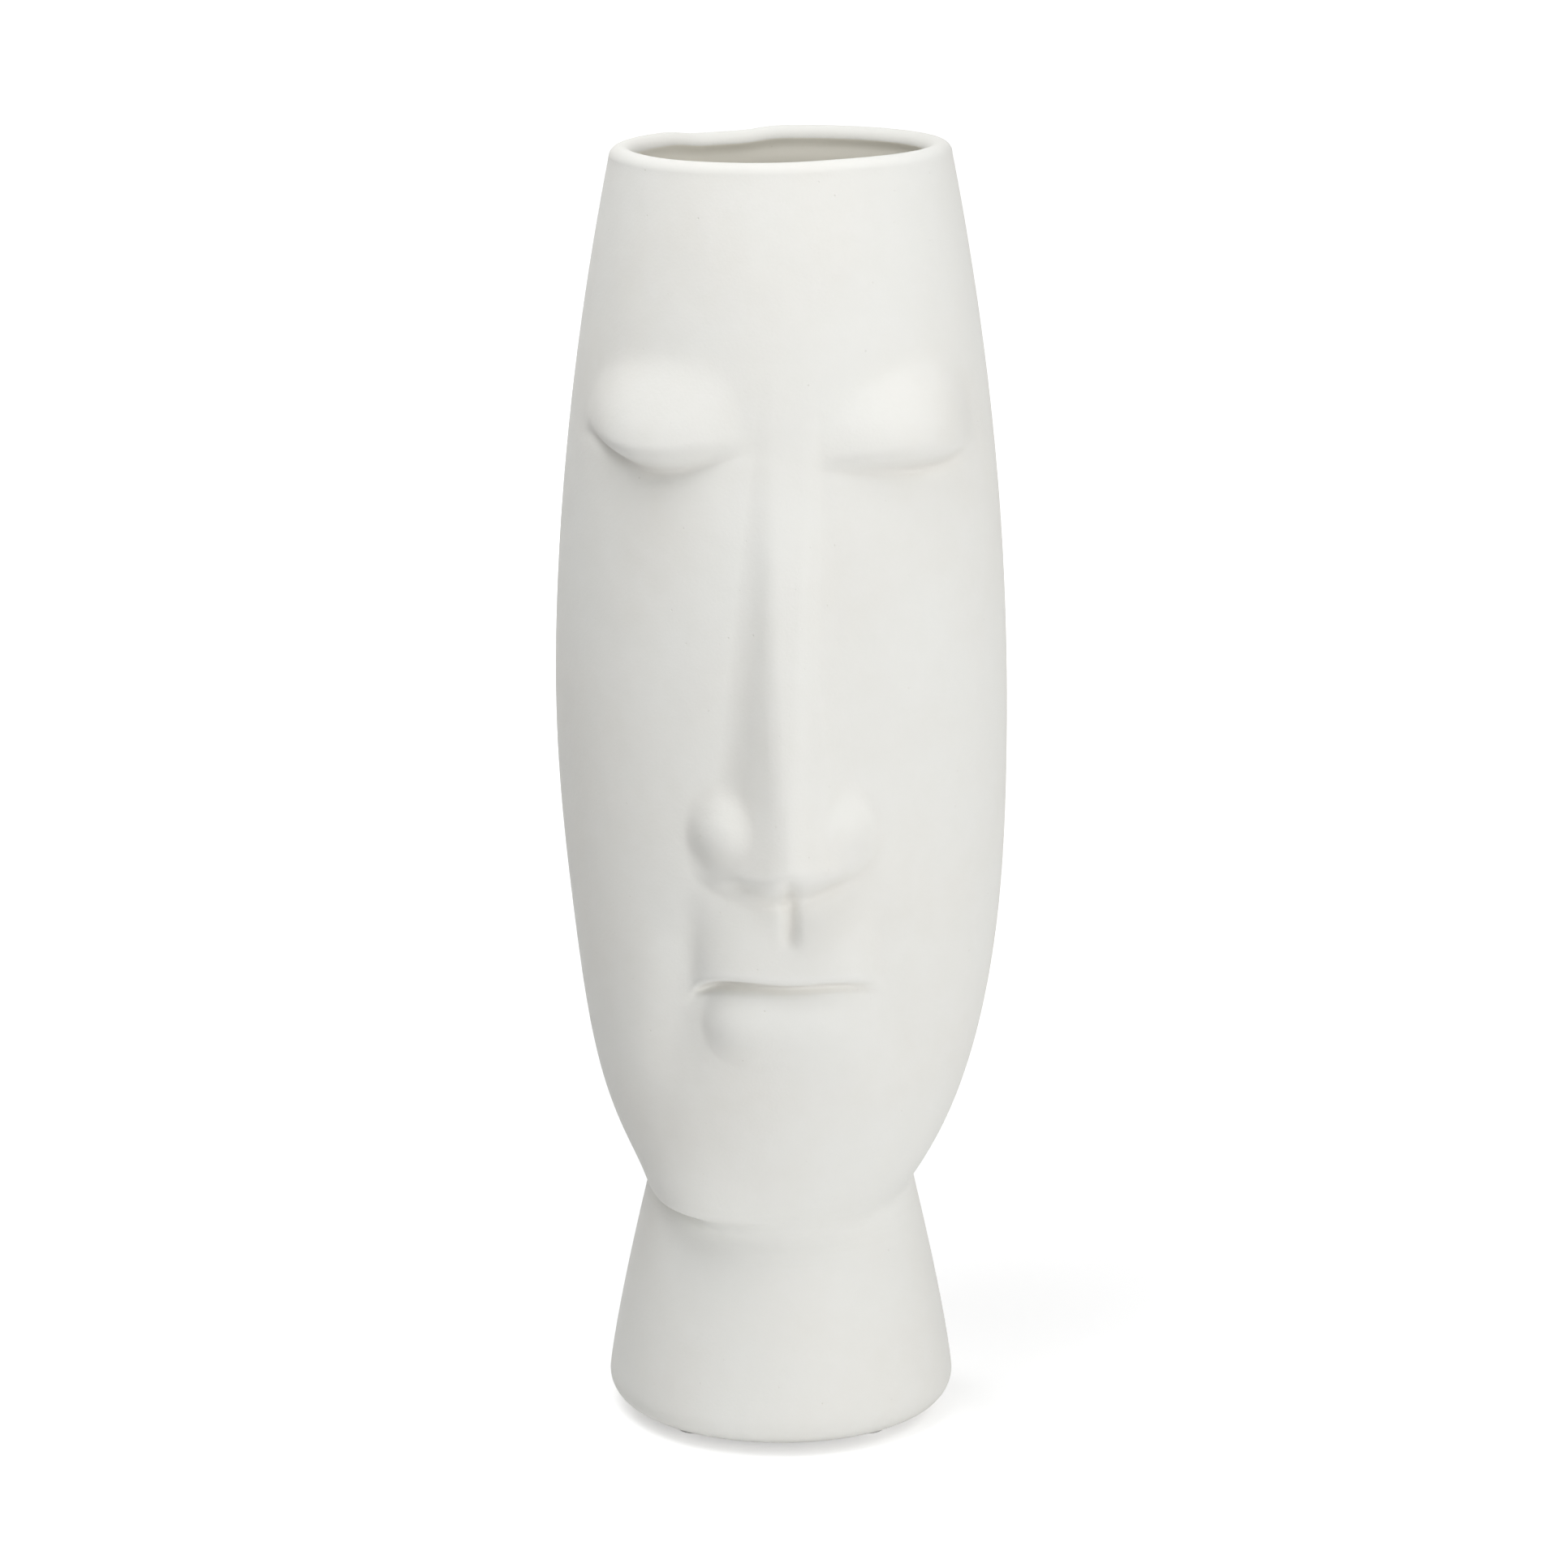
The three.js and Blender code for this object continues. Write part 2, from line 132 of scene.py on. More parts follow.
# Nose: a wedge with a flat ridge, a ball on either side of its tip, and shallow nostrils under them
NOSE_ROOT_HEIGHT = 232.3
NOSE_TIP_HEIGHT = 142.2
NOSE_PROJECTION = 12.2
NOSE_LEFT_ROOT = -3.6
NOSE_LEFT_TIP = 0.0
NOSE_RIGHT_ROOT = 7.0
NOSE_RIGHT_TIP = 2.2
NOSE_FLANK_SLOPE = 0.92
NOSE_TIP_SLOPE = 0.68
NOSE_SOFT_HEIGHT = 163.0  # from here down to the tip the flanks get gentler
NOSE_UNDER_SLOPE = 1.8
NOSE_UNDER_CURVE = 0.018
NOSE_UNDER_OFFSET = -3.0
NOSE_ROUNDING = 1.9
NOSE_TIP_ROUNDING = 5.0
WING_HEIGHT = 150.5
WING_OFFSET = -0.2
WING_REACH = 11.0
WING_HALF_WIDTH = 9.7
WING_HALF_HEIGHT = 9.6
WING_BULGE = 5.8
WING_LOPSIDED = 0.1
NOSTRIL_REACH = 8.6
NOSTRIL_HEIGHT = 139.4
NOSTRIL_HALF_WIDTH = 4.5
NOSTRIL_HALF_HEIGHT = 2.3
NOSTRIL_DEPTH = 1.4
NOSTRIL_LOPSIDED = 0.6
NOSE_FILLET = 3.2

# Groove from the nose to the mouth
PHILTRUM_OFFSET = 1.0
PHILTRUM_DEPTH = 1.8
PHILTRUM_HALF_WIDTH = 1.65
PHILTRUM_HEIGHT = 134.6
PHILTRUM_HALF_HEIGHT = 8.2

# Mouth
MOUTH_OFFSET = 0.2
MOUTH_HEIGHT = 117.7
MOUTH_HALF_WIDTH = 24.0
MOUTH_BOW = 0.6
MOUTH_BOW_HALF_WIDTH = 8.0
MOUTH_DROOP = 5.6
MOUTH_DEPTH = 3.2
MOUTH_LOPSIDED = 0.6
MOUTH_SOFTNESS = 1.1
LIPS_OFFSET = -0.7
LIPS_HALF_WIDTH = 19.6
UPPER_LIP_BULGE = 3.5
UPPER_LIP_RISE = 30.0
UPPER_LIP_EDGE = 2.4
LOWER_LIP_BULGE = 2.8
LOWER_LIP_HALF_WIDTH = 18.0
LOWER_LIP_HEIGHT = 106.5
LOWER_LIP_HALF_HEIGHT = 8.5
LOWER_LIP_LOPSIDED = 0.45
LIP_FILLET = 2.4

# The swell that carries the mouth, the folds beside it, and the chin
MUZZLE_BULGE = 2.5
MUZZLE_HEIGHT = 110.0
MUZZLE_HALF_WIDTH = 34.0
MUZZLE_HALF_HEIGHT = 32.0
FOLD_REACH = 22.8
FOLD_SPREAD = -0.22
FOLD_DEPTH = 2.0
FOLD_LOPSIDED = 0.3
FOLD_HALF_WIDTH = 8.5
FOLD_HEIGHT = 112.5
FOLD_HALF_HEIGHT = 20.0
CHIN_OFFSET = -22.0  # the chin is fullest on its left
CHIN_HEIGHT = 58.0
CHIN_BULGE = 5.0
CHIN_HALF_WIDTH = 14.0
CHIN_HALF_HEIGHT = 11.0
CHIN_UNDERCUT = 3.5

# A place counts as hollow by how far it lies below a ring of places round it
HOLLOW_REACH = 3.0
HOLLOW_FULL = 1.2
HOLLOW_SAMPLES = 8

# Mesh density
HEAD_COLUMNS = 260
FRONT_CROWDING = 0.6
FINE_STEP = 0.6
PLAIN_STEP = 1.6
FINE_ABOVE_JOINT = 2 * CHIN_UNDERCUT
FINE_BELOW_LIP = 1.5 * LOWER_LIP_HALF_HEIGHT
INNER_ROWS = 48
ROUND_COLUMNS = 160
PAD_COLUMNS = 48
FOOT_ROWS = 40
ARC_STEPS = 12
SLIP_STEPS = 14
WELD_DISTANCE = 0.01

# Places of the materials in a mesh's list
CLAY_INDEX = 0
GLAZE_INDEX = 1
BARE_INDEX = 2

# Colours, in linear light
CLAY_COOL = (0.835, 0.836, 0.802)
CLAY_WARM = (0.815, 0.806, 0.765)
CLAY_PALE = (0.86, 0.855, 0.83)
# painted shade: a darker, browner tone that the clay's colour takes in the hollows of the face
CLAY_PAINTED_SHADE = (0.7, 0.67, 0.62)
# a paler tone that the clay's colour takes on the ridges of the face
CLAY_RIDGE_PALE = (0.86, 0.858, 0.83)
CLAY_PINHOLE = (0.62, 0.58, 0.52)
GLAZE_THIN = (0.905, 0.885, 0.815)
GLAZE_POOLED = (0.88, 0.855, 0.775)
GLAZE_PINHOLE = (0.5, 0.45, 0.36)
BARE_PALE = (0.77, 0.75, 0.69)
BARE_DULL = (0.72, 0.69, 0.62)
BARE_SAND = (0.62, 0.58, 0.5)
FELT_DULL = (0.5, 0.49, 0.46)
FELT_PALE = (0.6, 0.59, 0.56)
FELT_FIBRE = (0.42, 0.41, 0.385)

# Textures, in cells to the metre
CLOUD_CELLS = 24
MOTTLE_CELLS = 150
GRAIN_CELLS = 1500
CLAY_PIT_CELLS = 190
STROKE_CELLS = 60
POOL_CELLS = 35
PEEL_CELLS = 260
GLAZE_PIT_CELLS = 160
BARE_CLOUD_CELLS = 40
SAND_CELLS = 1100
FIBRE_CELLS = 700
CROSS_FIBRE_CELLS = 900

# Most of a noise lies between the first two values, and nearly all of it between the others
NOISE_LOW = 0.35
NOISE_HIGH = 0.65
NOISE_LEAST = 0.3
NOISE_MOST = 0.7

# Squeeze of a texture along each axis
STROKE_SQUEEZE = (1.0, 1.0, 14.0)
POOL_SQUEEZE = (1.0, 1.0, 0.35)
FIBRE_SQUEEZE = (1.0, 0.2, 1.0)
CROSS_FIBRE_SQUEEZE = (0.25, 1.0, 1.0)

# Radius of the pits, in cells
CLAY_PIT_RADIUS = 0.05
GLAZE_PIT_RADIUS = 0.045

# Gloss
CERAMIC_SPECULAR = 0.3
GLAZE_SPECULAR = 0.5
BARE_SPECULAR = 0.2
FELT_SPECULAR = 0.1
FELT_SHEEN = 0.4
FELT_SHEEN_ROUGHNESS = 0.6

# Camera, fitted to the photograph
PHOTO_PIXELS = 1932
FOCAL_PIXELS = 6377
SENSOR_WIDTH = 36.0
CAMERA_PLACE = (0.7, -1170.0, 432.0)
CAMERA_TILT = math.radians(13.5)

# Lamps: name, degrees from the face towards the right, degrees up, distance and size in metres, watts
LAMP_TARGET = Vector((0, 0, 0.15))
LAMPS = [
    ("key", 20, 10, 1.6, 0.8, 10.2),
    ("right_fill", 75, 10, 1.6, 0.8, 2.5),
    ("right_back", 100, 40, 1.6, 0.8, 4.7),
    ("left_back", -130, 40, 1.6, 0.8, 4.8),
    ("near_top", -45, 68, 0.63, 0.35, 1.75),
]
WORLD_LIGHT = 0.195

# Floor, in metres, and the white that it shows to the camera near the vase and far from it
FLOOR_SIZE = 30.0
FLOOR_ALBEDO = 0.9
FLOOR_WHITE_NEAR = 0.45
FLOOR_WHITE_FAR = 1.0
FLOOR_NEAR_RADIUS = 0.15
FLOOR_FAR_RADIUS = 0.9


def bell(distance):
    """A bump of height one that falls away to nothing at a distance of about two."""
    return np.exp(-(distance * distance))


def lerp(start, end, share):
    return start + (end - start) * share


def smoothstep(value, low, high):
    share = np.clip((value - low) / (high - low), 0, 1)
    return share * share * (3 - 2 * share)


def filleted_max(first, second, fillet):
    """The larger of two heights, with the valley between them filled over a given width."""
    overlap = np.maximum(fillet - np.abs(first - second), 0) / fillet
    return np.maximum(first, second) + overlap * overlap * fillet / 4


def rounded_min(first, second, rounding):
    """The smaller of two heights, with the edge between them rounded over a given width."""
    return -filleted_max(-first, -second, rounding)


def lopsided(across, share):
    """The modelling by hand left the relief stronger on the left by a share, and weaker on the right."""
    return 1 - share * np.sign(across)


def placed(angle, radius, shift, height):
    """Points in millimetres. Angles run from the face, positive towards its right in a front view."""
    x = shift[0] + radius * np.sin(angle)
    y = shift[1] - radius * np.cos(angle)
    return np.stack(np.broadcast_arrays(x, y, height), axis=-1)


def joint_height(angle):
    return JOINT_HEIGHT - JOINT_DROP * np.cos(angle)


def lip_height(angle):
    height = VASE_HEIGHT - LIP_TILT * (1 - np.sin(angle)) / 2
    for dip in LIP_DIPS:
        turned = angle - dip["angle"]
        away = np.arctan2(np.sin(turned), np.cos(turned))
        height = height - dip["depth"] * bell((away / dip["half_width"]) ** 2)
    return height


def jaw_height(angle):
    """Where the jaw meets the neck, in a crease above the joint."""
    return joint_height(angle) + JAW_COLLAR


def left_of_jaw(angle):
    return bell((angle - JAW_LEFT_ANGLE) / JAW_LEFT_HALF_WIDTH)


def jaw_cleft(angle, height):
    """How deep the crease is cut in under the left of the jaw."""
    below = jaw_height(angle) - JAW_CLEFT_DROP - height
    return JAW_CLEFT_DEPTH * left_of_jaw(angle) * bell(below / JAW_CLEFT_HALF_HEIGHT)


def foot_radius(height):
    edge_top = PAD_THICKNESS + FOOT_EDGE_RADIUS
    rise = np.maximum(height - edge_top, 0) / (JOINT_HEIGHT - edge_top)
    return FOOT_RADIUS - (FOOT_RADIUS - NECK_RADIUS) * rise**FLARE_POWER


def neck_outside(angle, height):
    return foot_radius(height) - jaw_cleft(angle, height)


def head_radius(angle, height):
    """The head without its face. Under the jaw its collar continues the neck."""
    bottom = jaw_height(angle)
    above = np.clip((height - BELLY_HEIGHT) / (VASE_HEIGHT - BELLY_HEIGHT), 0, 1)
    below = np.clip((BELLY_HEIGHT - height) / (BELLY_HEIGHT - bottom), 0, 1)
    taper = (1 - JAW_SHARE) * below**2 + JAW_SHARE * below**JAW_POWER
    shoulder = (BELLY_RADIUS - LIP_RADIUS) * above**SHOULDER_POWER
    neck = foot_radius(np.minimum(height, bottom))
    return BELLY_RADIUS - shoulder - (BELLY_RADIUS - neck) * taper


def head_shift(angle, height):
    """How far a level of the head lies to the right of the foot's axis, and behind it."""
    sway = HEAD_SWAY * bell((height - SWAY_HEIGHT) / SWAY_HALF_HEIGHT)
    return sway, HEAD_SET_BACK * smoothstep(height, jaw_height(angle), BELLY_HEIGHT)


def eye_relief(across, height):
    """Above its crest the dome fades out, and below it the dome drops into the crease of the lids."""
    outward = (np.abs(across - EYE_MIDDLE) - EYE_REACH) / EYE_HALF_LENGTH
    arch = 1 - outward * outward
    span = np.maximum(arch, 0)
    along = (np.abs(across - EYE_MIDDLE - LIDS_OFFSET) - EYE_REACH) / EYE_HALF_LENGTH
    sag = 1 - np.maximum(1 - along * along, 0) ** 2
    lids = EYE_HEIGHT + EYE_SAG * lopsided(across, EYE_SAG_LOPSIDED) * sag
    tall = EYE_TALL * (1 + EYE_LEAN * outward * np.sign(across - EYE_MIDDLE))
    above = height - lids - tall * EYE_CREST * np.sqrt(span)
    upward = above / (tall * np.where(above > 0, 1 - EYE_CREST, EYE_CREST))
    inside = arch - upward * upward
    bulge = EYE_BULGE * lopsided(across, EYE_LOPSIDED)
    upper = bulge * np.maximum(inside, 0) ** 2
    drop = bulge * inside * np.where(inside > 0, span, 1)
    lower = filleted_max(0, drop, EYE_FILLET * np.clip(arch, EYE_FILLET_LEAST, 1))
    spread = np.where(outward < CREASE_PLACE, CREASE_INWARD, 1)
    end = smoothstep(CREASE_END - outward, 0, CREASE_PLACE)
    fading = bell((outward / CREASE_PLACE - 1) / spread) * end
    crease = fading * bell((height - lids) / CREASE_HALF_HEIGHT)
    return np.where(above > 0, upper, lower) - CREASE_DEPTH * crease


def nose_relief(across, height):
    along = (NOSE_ROOT_HEIGHT - height) / (NOSE_ROOT_HEIGHT - NOSE_TIP_HEIGHT)
    down = np.clip(along, 0, 1)
    ridge = NOSE_PROJECTION * along
    softened = smoothstep(height, NOSE_SOFT_HEIGHT, NOSE_TIP_HEIGHT)
    slope = lerp(NOSE_FLANK_SLOPE, NOSE_TIP_SLOPE, softened)
    left = ridge - slope * (lerp(NOSE_LEFT_ROOT, NOSE_LEFT_TIP, down) - across)
    right = ridge - slope * (across - lerp(NOSE_RIGHT_ROOT, NOSE_RIGHT_TIP, down))
    edge = NOSE_TIP_HEIGHT + NOSE_UNDER_CURVE * (across - NOSE_UNDER_OFFSET) ** 2
    under = NOSE_PROJECTION + NOSE_UNDER_SLOPE * (height - edge)
    wedge = rounded_min(rounded_min(ridge, left, NOSE_ROUNDING), right, NOSE_ROUNDING)
    return rounded_min(wedge, under, NOSE_TIP_ROUNDING)


def wing_relief(across, height):
    outward = (np.abs(across - WING_OFFSET) - WING_REACH) / WING_HALF_WIDTH
    upward = (height - WING_HEIGHT) / WING_HALF_HEIGHT
    return WING_BULGE * lopsided(across, WING_LOPSIDED) * (1 - outward * outward - upward * upward)


def nostril_relief(across, height):
    """A shallow hollow under either wing of the nose."""
    outward = (np.abs(across - WING_OFFSET) - NOSTRIL_REACH) / NOSTRIL_HALF_WIDTH
    upward = (height - NOSTRIL_HEIGHT) / NOSTRIL_HALF_HEIGHT
    return -NOSTRIL_DEPTH * lopsided(across, NOSTRIL_LOPSIDED) * bell(outward) * bell(upward)


def mouth_relief(across, height):
    """The upper lip overhangs the mouth's line, which falls at the corners and fades to the right."""
    sideways = (across - MOUTH_OFFSET) / MOUTH_HALF_WIDTH
    bow = MOUTH_BOW * bell((across - MOUTH_OFFSET) / MOUTH_BOW_HALF_WIDTH)
    line = MOUTH_HEIGHT - bow - MOUTH_DROOP * sideways**4
    ends = bell(((across - LIPS_OFFSET) / LIPS_HALF_WIDTH) ** 4)
    rise = smoothstep(line + UPPER_LIP_RISE - height, 0, UPPER_LIP_RISE)
    upper = UPPER_LIP_BULGE * ends * rise * smoothstep(height, line - UPPER_LIP_EDGE, line)
    lip_sideways = across / LOWER_LIP_HALF_WIDTH
    lip_upward = (height - LOWER_LIP_HEIGHT) / LOWER_LIP_HALF_HEIGHT
    lip_bulge = LOWER_LIP_BULGE * (1 - LOWER_LIP_LOPSIDED * np.clip(lip_sideways, -1, 1))
    lip_swell = lip_bulge * (1 - lip_sideways**4 - lip_upward * lip_upward)
    lower = filleted_max(0, lip_swell, LIP_FILLET)
    depth = MOUTH_DEPTH * ends * (1 - MOUTH_LOPSIDED * sideways)
    groove = depth * bell((height - line + UPPER_LIP_EDGE / 2) / MOUTH_SOFTNESS)
    return upper + lower - groove


def philtrum_relief(across, height):
    sideways = (across - PHILTRUM_OFFSET) / PHILTRUM_HALF_WIDTH
    upward = (height - PHILTRUM_HEIGHT) / PHILTRUM_HALF_HEIGHT
    return -PHILTRUM_DEPTH * bell(sideways) * bell(upward**3)


def soft_relief(across, height):
    muzzle = bell(across / MUZZLE_HALF_WIDTH) * bell((height - MUZZLE_HEIGHT) / MUZZLE_HALF_HEIGHT)
    fold_reach = FOLD_REACH + FOLD_SPREAD * (height - FOLD_HEIGHT)
    beside = bell((np.abs(across) - fold_reach) / FOLD_HALF_WIDTH)
    fold = beside * bell(((height - FOLD_HEIGHT) / FOLD_HALF_HEIGHT) ** 2)
    fold_depth = FOLD_DEPTH * lopsided(across, FOLD_LOPSIDED)
    chin_across = (across - CHIN_OFFSET) / CHIN_HALF_WIDTH
    chin = bell(chin_across) * bell((height - CHIN_HEIGHT) / CHIN_HALF_HEIGHT)
    brow = bell(across / BROW_HOLLOW_SIZE) * bell((height - EYE_HEIGHT) / BROW_HOLLOW_SIZE)
    return MUZZLE_BULGE * muzzle + CHIN_BULGE * chin - fold_depth * fold - BROW_HOLLOW * brow


def face_relief(across, height):
    """How far the face stands out from the head, at a place given along the surface and by its height."""
    nose = filleted_max(nose_relief(across, height), wing_relief(across, height), NOSE_FILLET)
    raised = filleted_max(eye_relief(across, height), nose, NOSE_FILLET)
    mouth = mouth_relief(across, height) + philtrum_relief(across, height)
    return raised + mouth + nostril_relief(across, height) + soft_relief(across, height)


def hollowness(across, height):
    """From -1 on a sharp ridge to 1 in a deep groove."""
    around = 0
    for turn in np.linspace(0, 2 * math.pi, HOLLOW_SAMPLES, endpoint=False):
        step_across = HOLLOW_REACH * math.cos(turn)
        step_up = HOLLOW_REACH * math.sin(turn)
        around = around + face_relief(across + step_across, height + step_up) / HOLLOW_SAMPLES
    return np.clip((around - face_relief(across, height)) / HOLLOW_FULL, -1, 1)


def head_outside(angle, height):
    """Radius of the head with its face, which grows out of the crease over the undercut of the chin."""
    radius = head_radius(angle, height)
    bottom = jaw_height(angle)
    grown = smoothstep(height, bottom, bottom + CHIN_UNDERCUT)
    return radius + grown * face_relief(radius * angle, height) - jaw_cleft(angle, height)


def lip_cove(below):
    """How far the inner wall steps back at a distance below the round of the lip."""
    grown = smoothstep(below, 0, LIP_COVE_PLACE)
    return LIP_COVE_DEPTH * grown * bell(np.maximum(below - LIP_COVE_PLACE, 0) / LIP_COVE_HALF_HEIGHT)


def crowded_angles(count):
    """Angles from the nape round to the nape, closest together in the middle of the face."""
    turn = np.linspace(-math.pi, math.pi, count, endpoint=False)
    return (turn - FRONT_CROWDING * np.sin(turn))[:, None]


def even_angles(count):
    return np.linspace(-math.pi, math.pi, count, endpoint=False)[:, None]


def head_row_shares():
    """Shares of the head's height, close together at the chin, the mouth, the nose's base and the eyes."""
    zones = [
        (JOINT_HEIGHT + FINE_ABOVE_JOINT, FINE_STEP),
        (LOWER_LIP_HEIGHT - FINE_BELOW_LIP, PLAIN_STEP),
        (WING_HEIGHT + WING_HALF_HEIGHT, FINE_STEP),
        (EYE_HEIGHT - EYE_SAG, PLAIN_STEP),
        (EYE_HEIGHT + EYE_TALL, FINE_STEP),
        (VASE_HEIGHT, PLAIN_STEP),
    ]
    heights = [JOINT_HEIGHT]
    for top, step in zones:
        count = round((top - heights[-1]) / step)
        heights.extend(np.linspace(heights[-1], top, count + 1)[1:])
    return (np.array(heights) - JOINT_HEIGHT) / (VASE_HEIGHT - JOINT_HEIGHT)


def swept_mesh(name, rows, is_loop, materials, row_material=None):
    """A mesh from points in millimetres, columns by rows. It closes round the axis, and along a column if
    that is a loop."""
    columns, count = rows.shape[:2]
    index = np.arange(columns * count).reshape(columns, count)
    beside = np.roll(index, -1, axis=0)
    steps = count if is_loop else count - 1
    after = np.roll(index, -1, axis=1)
    beside_after = np.roll(beside, -1, axis=1)
    quads = np.stack([index, beside, beside_after, after], axis=-1)[:, :steps]
    mesh = bpy.data.meshes.new(name)
    mesh.from_pydata((rows.reshape(-1, 3) * MM).tolist(), [], quads.reshape(-1, 4).tolist())
    for material in materials:
        mesh.materials.append(material)
    if row_material is not None:
        face_material = np.tile(np.asarray(row_material)[:steps], columns)
        mesh.polygons.foreach_set("material_index", face_material.astype(np.int32))
    mesh.polygons.foreach_set("use_smooth", np.ones(len(mesh.polygons), bool))
    obj = bpy.data.objects.new(name, mesh)
    bpy.context.scene.collection.objects.link(obj)
    return obj


def weld(obj):
    mesh = bmesh.new()
    mesh.from_mesh(obj.data)
    bmesh.ops.remove_doubles(mesh, verts=mesh.verts, dist=WELD_DISTANCE * MM)
    mesh.to_mesh(obj.data)
    mesh.free()


def make_head(clay, glaze):
    angle = crowded_angles(HEAD_COLUMNS)
    bottom = joint_height(angle) + SEAM_THICKNESS / 2 + SEAT_GAP
    lip_round = WALL / 2
    top = lip_height(angle) - lip_round

    height = lerp(bottom, top, head_row_shares()[None, :])
    outside = placed(angle, head_outside(angle, height), head_shift(angle, height), height)

    turn = np.linspace(0, math.pi, 2 * ARC_STEPS + 1)[None, 1:-1]
    lip_middle = head_radius(angle, top) - lip_round
    lip_radius = lip_middle + lip_round * np.cos(turn)
    lip = placed(angle, lip_radius, head_shift(angle, top), top + lip_round * np.sin(turn))

    inner_height = lerp(top, bottom, np.linspace(0, 1, INNER_ROWS)[None, :] ** 2)
    inner_radius = head_radius(angle, inner_height) - WALL + lip_cove(top - inner_height)
    inside = placed(angle, inner_radius, head_shift(angle, inner_height), inner_height)

    rows = np.concatenate([outside, lip, inside], axis=1)
    outer_count = outside.shape[1] + lip.shape[1]
    row_material = [CLAY_INDEX] * outer_count + [GLAZE_INDEX] * INNER_ROWS
    head = swept_mesh("head", rows, True, [clay, glaze], row_material)

    # hollowness of the relief, which sets the painted shade in the clay's colour
    hollow = np.zeros(rows.shape[:2], np.float32)
    hollow[:, : height.shape[1]] = hollowness(head_radius(angle, height) * angle, height)
    head.data.attributes.new("hollow", "FLOAT", "POINT").data.foreach_set("value", hollow.ravel())
    return head


def make_slip(slip):
    """The slip fills the crease under the jaw as a hollow curve, and its edges sink into the clay."""
    angle = crowded_angles(HEAD_COLUMNS)
    middle = jaw_height(angle)
    reach = lerp(SLIP_REACH, SLIP_REACH_LEFT, left_of_jaw(angle))
    low = middle - reach
    high = middle + reach
    run_out = np.linspace(0, 1, SLIP_STEPS)[None, 1:]
    sunk = SLIP_COVER - (SLIP_COVER + SLIP_DEPTH) * run_out**4

    share = np.linspace(0, 1, SLIP_STEPS)[None, :]
    weights = ((1 - share) ** 2, 2 * share * (1 - share), share**2)
    radii = (neck_outside(angle, low), neck_outside(angle, middle), head_outside(angle, high))
    fill_radius = sum(weight * radius for weight, radius in zip(weights, radii)) + SLIP_COVER
    fill_height = sum(weight * level for weight, level in zip(weights, (low, middle, high)))
    fill_share = share**2
    sway, back = head_shift(angle, high)
    fill = placed(angle, fill_radius, (sway * fill_share, back * fill_share), fill_height)

    down_height = low - SLIP_RUN_OUT * run_out
    down = placed(angle, neck_outside(angle, down_height) + sunk, ON_AXIS, down_height)
    up_height = high + SLIP_RUN_OUT * run_out
    up = placed(angle, head_outside(angle, up_height) + sunk, head_shift(angle, up_height), up_height)
    joint = joint_height(angle)
    inner = foot_radius(joint) - WALL
    inner_levels = (joint + SEAM_THICKNESS, joint - SEAM_THICKNESS)
    inside = [placed(angle, inner, ON_AXIS, level) for level in inner_levels]
    rows = [down[:, ::-1], fill, up, *inside]
    return swept_mesh("slip", np.concatenate(rows, axis=1), True, [slip])


def make_foot(clay, glaze, bare):
    angle = even_angles(ROUND_COLUMNS)
    recess_top = PAD_THICKNESS + RECESS_DEPTH
    floor_top = recess_top + FLOOR_THICKNESS
    edge_top = PAD_THICKNESS + FOOT_EDGE_RADIUS
    flat_radius = FOOT_RADIUS - FOOT_EDGE_RADIUS
    ring_inside = flat_radius - FOOT_RING_WIDTH
    fillet_top = floor_top + FLOOR_FILLET
    fillet_middle = foot_radius(fillet_top) - WALL - FLOOR_FILLET
    quarter = np.linspace(0, math.pi / 2, ARC_STEPS)[None, :]

    under_radius = np.array([[0, ring_inside - RECESS_DEPTH, ring_inside]])
    under_height = np.array([[recess_top, recess_top, PAD_THICKNESS]])
    under = placed(angle, under_radius, ON_AXIS, under_height)
    edge_height = edge_top - FOOT_EDGE_RADIUS * np.cos(quarter)
    edge = placed(angle, flat_radius + FOOT_EDGE_RADIUS * np.sin(quarter), ON_AXIS, edge_height)
    top = joint_height(angle) - SEAM_THICKNESS / 2 - SEAT_GAP
    outer_height = lerp(edge_top, top, np.linspace(0, 1, FOOT_ROWS)[None, 1:])
    outside = placed(angle, foot_radius(outer_height), ON_AXIS, outer_height)
    inner_height = lerp(top, fillet_top, np.linspace(0, 1, FOOT_ROWS // 2)[None, :])
    inside = placed(angle, foot_radius(inner_height) - WALL, ON_AXIS, inner_height)
    fillet_height = fillet_top - FLOOR_FILLET * np.sin(quarter[:, 1:])
    fillet = placed(angle, fillet_middle + FLOOR_FILLET * np.cos(quarter[:, 1:]), ON_AXIS, fillet_height)
    centre = placed(angle, np.zeros((1, 1)), ON_AXIS, np.full((1, 1), floor_top))

    rows = np.concatenate([under, edge, outside, inside, fillet, centre], axis=1)
    wiped_edge_rows = ARC_STEPS // 4
    bare_rows = under.shape[1] + wiped_edge_rows
    clay_rows = under.shape[1] + edge.shape[1] + outside.shape[1] - bare_rows
    glaze_rows = rows.shape[1] - bare_rows - clay_rows
    row_material = [BARE_INDEX] * bare_rows + [CLAY_INDEX] * clay_rows + [GLAZE_INDEX] * glaze_rows
    foot = swept_mesh("foot", rows, False, [clay, glaze, bare], row_material)
    weld(foot)
    return foot


